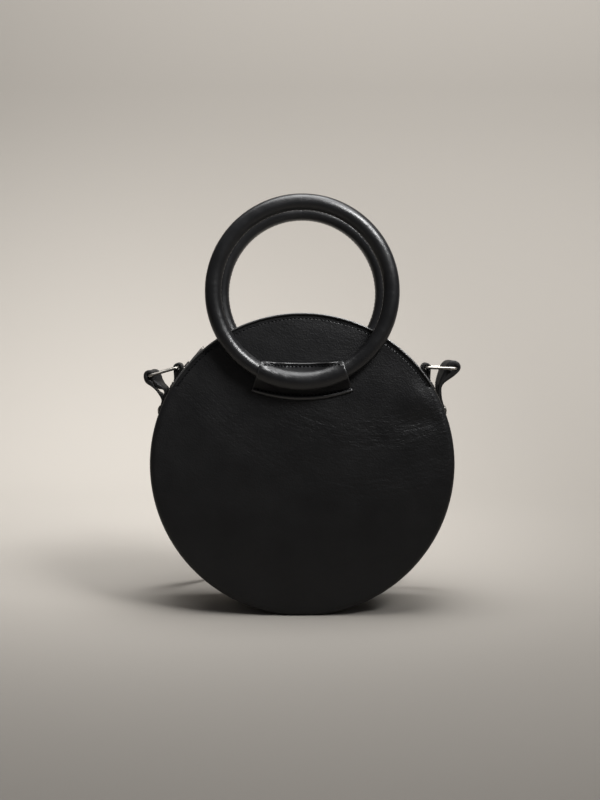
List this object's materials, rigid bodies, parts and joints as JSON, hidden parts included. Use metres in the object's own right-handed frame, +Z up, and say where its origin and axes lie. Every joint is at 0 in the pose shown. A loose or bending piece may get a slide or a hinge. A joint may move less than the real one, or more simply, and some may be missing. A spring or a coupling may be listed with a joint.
{
  "type": "handbag",
  "caption": "Round black leather handbag with leather-wrapped ring handles held by sewn patches, an arched zip, and a leather strap on wire links.",
  "frame": {"origin": "middle of the flat sole, on the surface that the bag stands on", "axes": "+X to the bag's right as seen from the front, -Y out of the front face, +Z up"},
  "size_m": [0.2326, 0.1828, 0.3021],
  "materials": {
    "black_leather": "smooth semi-gloss",
    "stiffener_board": "fibre board",
    "lining_cloth": "plain weave",
    "zip_tape": "woven tape",
    "nickel_metal": "polished nickel",
    "ring_wood": "turned, unfinished"
  },
  "bodies": {
    "bag": {"front_panel": "black_leather", "back_panel": "black_leather", "front_stiffener": "stiffener_board", "back_stiffener": "stiffener_board", "front_lining": "lining_cloth", "back_lining": "lining_cloth", "gusset": "black_leather", "gusset_lining": "lining_cloth", "front_zip_band": "black_leather", "back_zip_band": "black_leather", "front_zip_tape": "zip_tape", "back_zip_tape": "zip_tape", "front_zip_teeth": "nickel_metal", "back_zip_teeth": "nickel_metal", "zip_stops": "nickel_metal", "left_tab": "black_leather", "right_tab": "black_leather", "left_strap_run": "black_leather", "right_strap_run": "black_leather", "strap_coil": "black_leather"},
    "front_patch": {"front_keeper": "black_leather"},
    "front_ring": {"front_ring_core": "ring_wood", "front_ring_wrap": "black_leather"},
    "back_patch": {"back_keeper": "black_leather"},
    "back_ring": {"back_ring_core": "ring_wood", "back_ring_wrap": "black_leather"},
    "slider": {"zip_slider": "nickel_metal"},
    "pull": {"zip_pull": "nickel_metal"},
    "left_strap_link": {"left_link": "nickel_metal", "left_strap_end": "black_leather", "left_strap_rivet": "nickel_metal"},
    "right_strap_link": {"right_link": "nickel_metal", "right_strap_end": "black_leather", "right_strap_rivet": "nickel_metal"}
  },
  "joints": [
    {"name": "front_ring_lean", "type": "hinge", "parent": "bag", "child": "front_patch", "pos_m": [0, -0.0431, 0.1706], "axis": [1, 0, 0], "range_deg": [0, 40], "deforming": ["front_keeper"]},
    {"name": "front_ring_turn", "type": "hinge", "parent": "front_patch", "child": "front_ring", "pos_m": [0, -0.0431, 0.2333], "axis": [0, 1, 0], "continuous": true},
    {"name": "back_ring_lean", "type": "hinge", "parent": "bag", "child": "back_patch", "pos_m": [0, 0.0431, 0.1706], "axis": [-1, 0, 0], "range_deg": [0, 40], "deforming": ["back_keeper"]},
    {"name": "back_ring_turn", "type": "hinge", "parent": "back_patch", "child": "back_ring", "pos_m": [0, 0.0431, 0.2333], "axis": [0, 1, 0], "continuous": true},
    {"name": "zip_slide", "type": "hinge", "parent": "bag", "child": "slider", "pos_m": [0, 0, 0.1088], "axis": [0, 1, 0], "range_deg": [0, 89]},
    {"name": "pull_flip", "type": "hinge", "parent": "slider", "child": "pull", "pos_m": [-0.08496, 0, 0.18008], "axis": [0, -1, 0], "range_deg": [0, 75]},
    {"name": "left_link_swing", "type": "hinge", "parent": "bag", "child": "left_strap_link", "pos_m": [-0.09184, 0, 0.17851], "axis": [0, 1, 0], "range_deg": [0, 75], "deforming": ["left_strap_run"]},
    {"name": "right_link_swing", "type": "hinge", "parent": "bag", "child": "right_strap_link", "pos_m": [0.09184, 0, 0.17851], "axis": [0, -1, 0], "range_deg": [0, 75], "deforming": ["right_strap_run"]}
  ]
}
